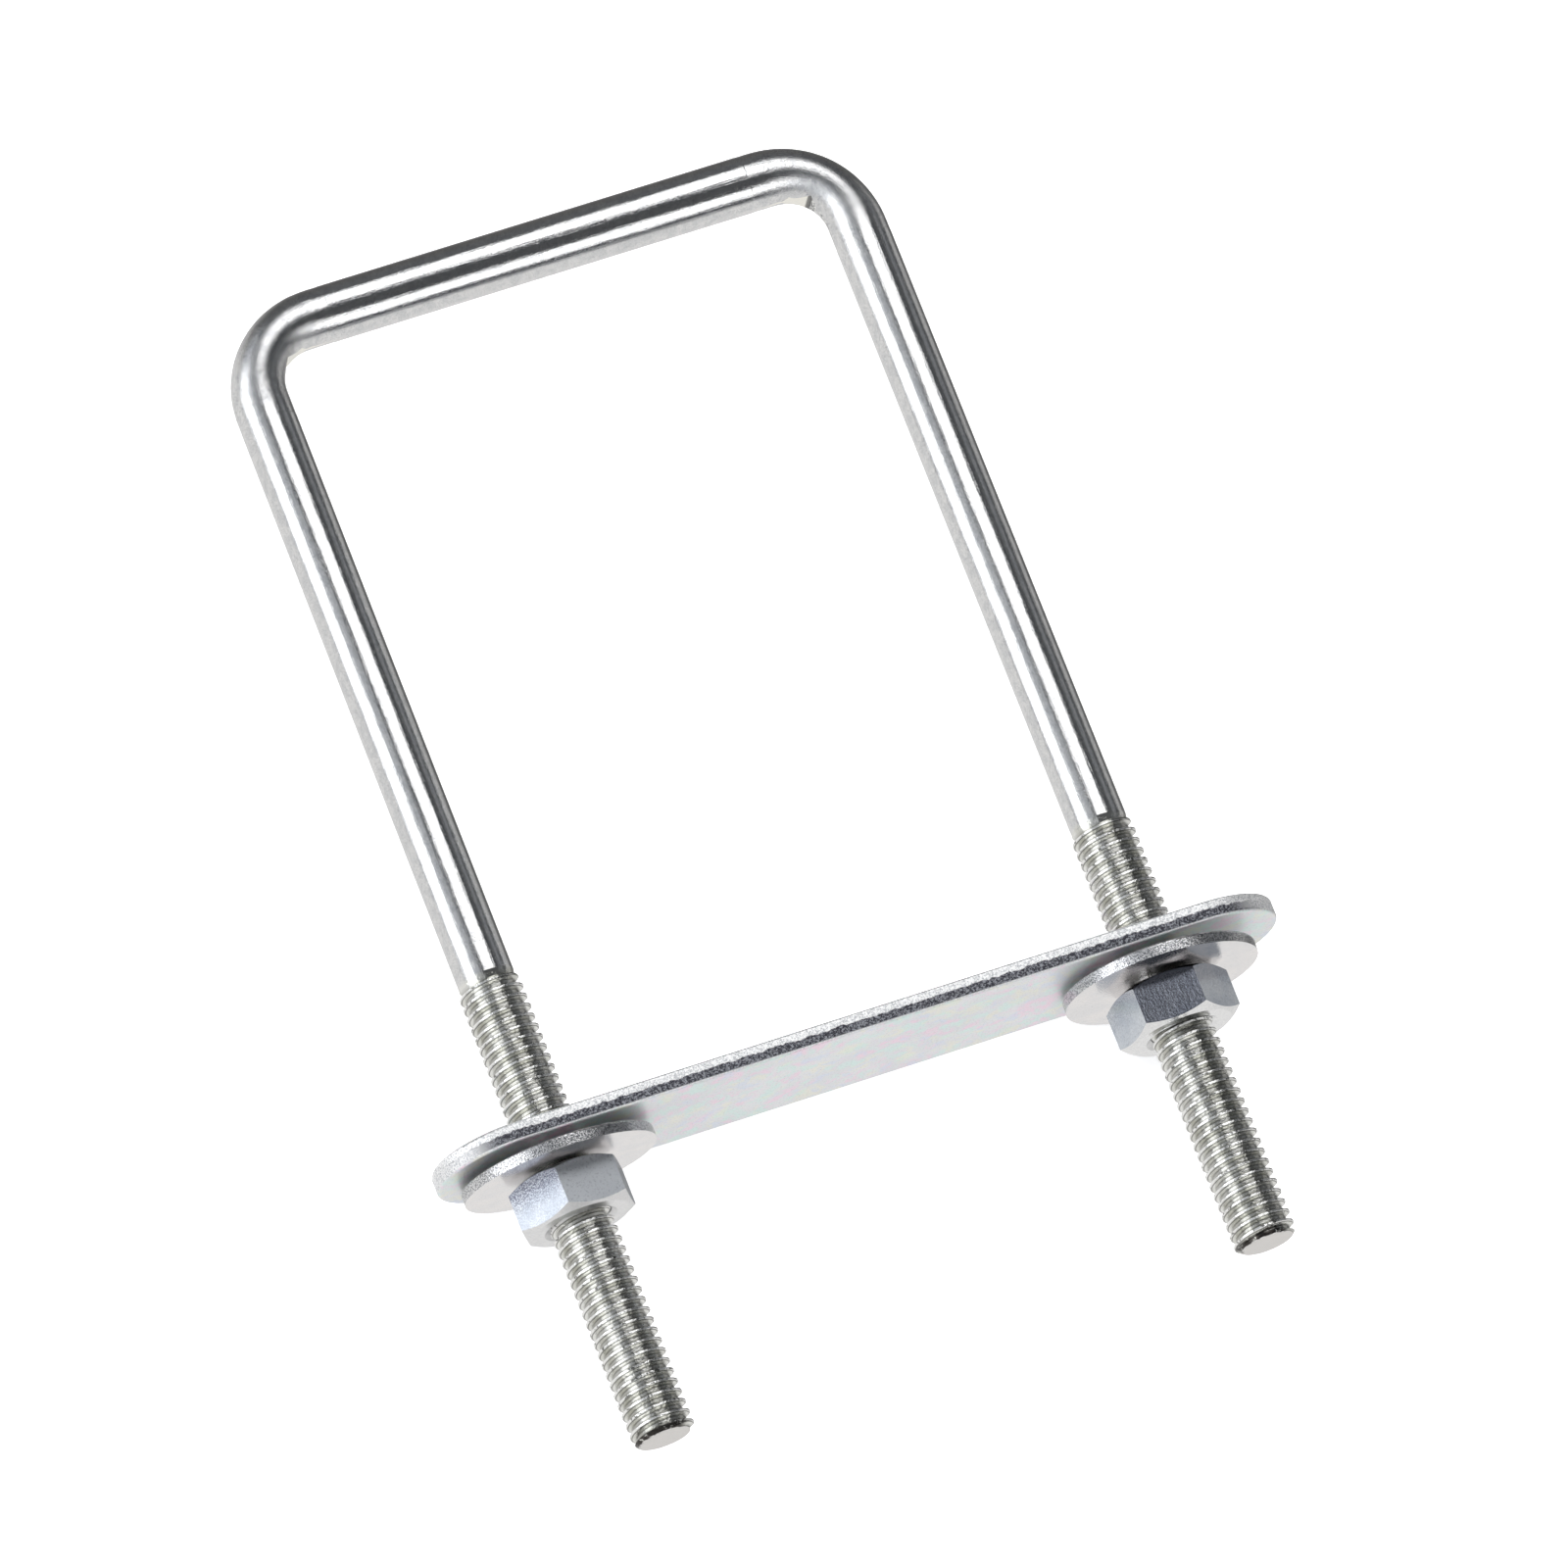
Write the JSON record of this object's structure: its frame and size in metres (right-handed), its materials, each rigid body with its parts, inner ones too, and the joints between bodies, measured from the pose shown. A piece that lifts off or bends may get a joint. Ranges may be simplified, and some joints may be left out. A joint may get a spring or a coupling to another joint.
{
  "type": "u-bolt",
  "caption": "Square-bend U-bolt with a long thread on each leg, a round-ended clamp plate, and a loose large washer and hex nut on each leg. Bright zinc-plated steel.",
  "frame": {"origin": "centre of the clamp plate's clamping face, midway between the legs", "axes": "+X along the plate from the left leg to the right leg, +Y from the plate towards the crossbar, +Z the normal of the plane the rod is bent in, so the part lies flat"},
  "size_m": [0.08, 0.112, 0.018],
  "materials": {
    "rod_zinc": "bright zinc plate over cold-drawn rod, fine lengthwise grain",
    "plate_zinc": "satin zinc plate over blanked strip",
    "washer_zinc": "satin zinc plate",
    "nut_zinc": "satin zinc plate with a faint blue passivate"
  },
  "bodies": {
    "u_bolt": {"u_bolt": "rod_zinc"},
    "plate": {"plate": "plate_zinc"},
    "washer_left": {"washer_left": "washer_zinc"},
    "washer_right": {"washer_right": "washer_zinc"},
    "nut_left": {"nut_left": "nut_zinc"},
    "nut_right": {"nut_right": "nut_zinc"}
  },
  "joints": [
    {"name": "plate_slide", "type": "slide", "parent": "u_bolt", "child": "plate", "axis": [0, 1, 0], "range_m": [0, 0.073]},
    {"name": "washer_left_slide", "type": "slide", "parent": "u_bolt", "child": "washer_left", "axis": [0, -1, 0], "range_m": [0, 0.02]},
    {"name": "nut_left_spin", "type": "hinge", "parent": "washer_left", "child": "nut_left", "pos_m": [-0.0286, -0.0063, 0], "axis": [0, -1, 0], "range_deg": [0, 7200]},
    {"name": "washer_right_slide", "type": "slide", "parent": "u_bolt", "child": "washer_right", "axis": [0, -1, 0], "range_m": [0, 0.02]},
    {"name": "nut_right_spin", "type": "hinge", "parent": "washer_right", "child": "nut_right", "pos_m": [0.0286, -0.00652, 0], "axis": [0, -1, 0], "range_deg": [0, 7200]}
  ],
  "couplings": [
    {"joint": "nut_left_spin", "follows": "washer_left_slide", "rad_per_m": 6283.2},
    {"joint": "nut_right_spin", "follows": "washer_right_slide", "rad_per_m": 6283.2}
  ]
}
